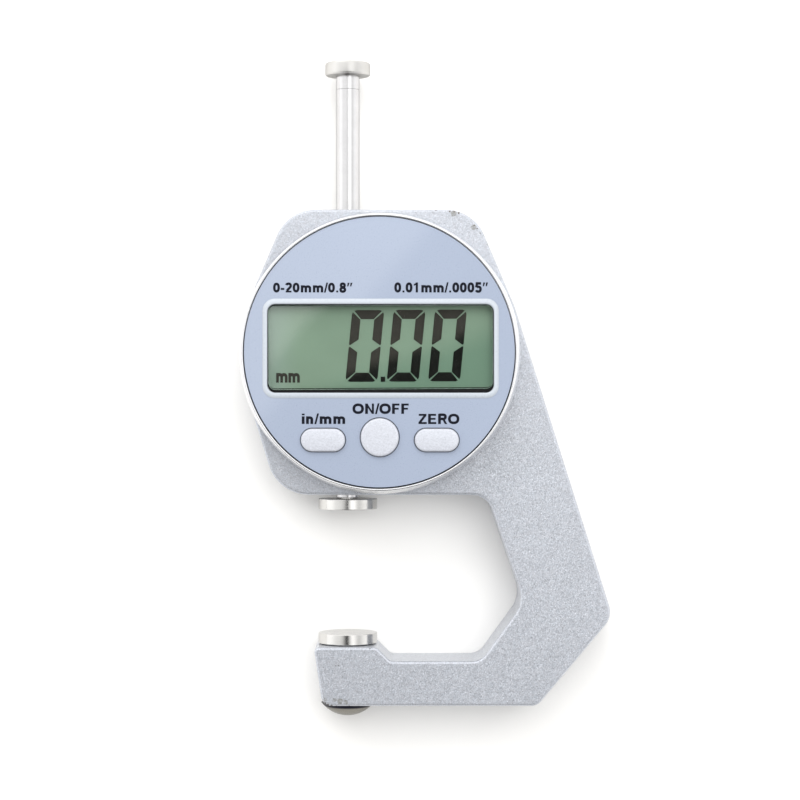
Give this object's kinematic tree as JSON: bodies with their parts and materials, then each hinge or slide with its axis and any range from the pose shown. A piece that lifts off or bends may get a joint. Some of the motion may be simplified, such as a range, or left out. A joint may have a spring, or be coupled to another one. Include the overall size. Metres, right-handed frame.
{
  "type": "digital thickness gauge",
  "caption": "C-frame digital thickness gauge: a spindle with a lifting knob slides through a round display head onto a fixed flat anvil.",
  "frame": {"origin": "middle of the bounding box in X and Y, on the flat back that the gauge lies on", "axes": "+Z out of the dial, +Y along the spindle from the anvil to the lifting knob, +X into the throat"},
  "size_m": [0.062, 0.1108, 0.0212],
  "materials": {
    "silver_paint": "fine silver-grey sparkle paint",
    "polished_steel": "polished",
    "turned_steel": "fine turning marks, satin",
    "bronze": "plain bearing bronze",
    "face_blue_grey": "satin printed face",
    "bezel_white": "pale moulded frame",
    "clear_lens": "clear acrylic",
    "display_green": "reflective liquid crystal panel",
    "button_silver": "fine textured silver-white paint",
    "black_rubber": "matt",
    "grey_plastic": "fine moulded grain",
    "white_plastic": "plain",
    "board_green": "solder resist",
    "chip_black": "moulded package",
    "aluminium": "milled",
    "cell_steel": "nickel plated",
    "gold_plate": "gold plated"
  },
  "bodies": {
    "gauge": {"anvil": "polished_steel", "anvil_nut": "polished_steel", "battery": "cell_steel", "battery_cap_seal": "black_rubber", "battery_holder": "grey_plastic", "battery_negative_contact": "gold_plate", "battery_positive_contact": "gold_plate", "board_screw_1": "polished_steel", "board_screw_2": "polished_steel", "board_screw_3": "polished_steel", "case_screw_1": "polished_steel", "case_screw_2": "polished_steel", "case_screw_3": "polished_steel", "controller_chip": "chip_black", "cover_screw_1": "polished_steel", "cover_screw_2": "polished_steel", "cover_screw_3": "polished_steel", "cover_screw_4": "polished_steel", "display_holder": "white_plastic", "display_panel": "display_green", "drag_ring": "black_rubber", "face_plate": "face_blue_grey", "frame": "silver_paint", "guide_rod": "polished_steel", "head_case": "turned_steel", "keypad": "black_rubber", "lower_bush": "bronze", "main_board": "board_green", "rear_cover": "grey_plastic", "upper_bush": "bronze", "window_bezel": "bezel_white", "window_gasket": "black_rubber", "window_lens": "clear_lens", "zebra_strip_lower": "black_rubber", "zebra_strip_upper": "black_rubber"},
    "spindle": {"spindle": "polished_steel", "spindle_contact": "polished_steel", "lifting_knob": "polished_steel", "carrier": "aluminium", "carrier_screw": "polished_steel", "scale_strip": "gold_plate"},
    "unit_button": {"unit_button": "button_silver"},
    "power_button": {"power_button": "button_silver"},
    "zero_button": {"zero_button": "button_silver"},
    "battery_cap": {"battery_cap": "grey_plastic"}
  },
  "joints": [
    {"name": "spindle_slide", "type": "slide", "parent": "gauge", "child": "spindle", "axis": [0, -1, 0], "range_m": [0, 0.0209]},
    {"name": "unit_button_press", "type": "slide", "parent": "gauge", "child": "unit_button", "axis": [0, 0, -1], "range_m": [0, 0.0005], "stiffness_N_per_m": 1000, "springref_m": -0.0003},
    {"name": "power_button_press", "type": "slide", "parent": "gauge", "child": "power_button", "axis": [0, 0, -1], "range_m": [0, 0.0005], "stiffness_N_per_m": 1000, "springref_m": -0.0003},
    {"name": "zero_button_press", "type": "slide", "parent": "gauge", "child": "zero_button", "axis": [0, 0, -1], "range_m": [0, 0.0005], "stiffness_N_per_m": 1000, "springref_m": -0.0003},
    {"name": "battery_cap_turn", "type": "hinge", "parent": "gauge", "child": "battery_cap", "pos_m": [0.00117, 0.00595, 0.0001], "axis": [0, 0, -1], "range_deg": [0, 45]}
  ]
}
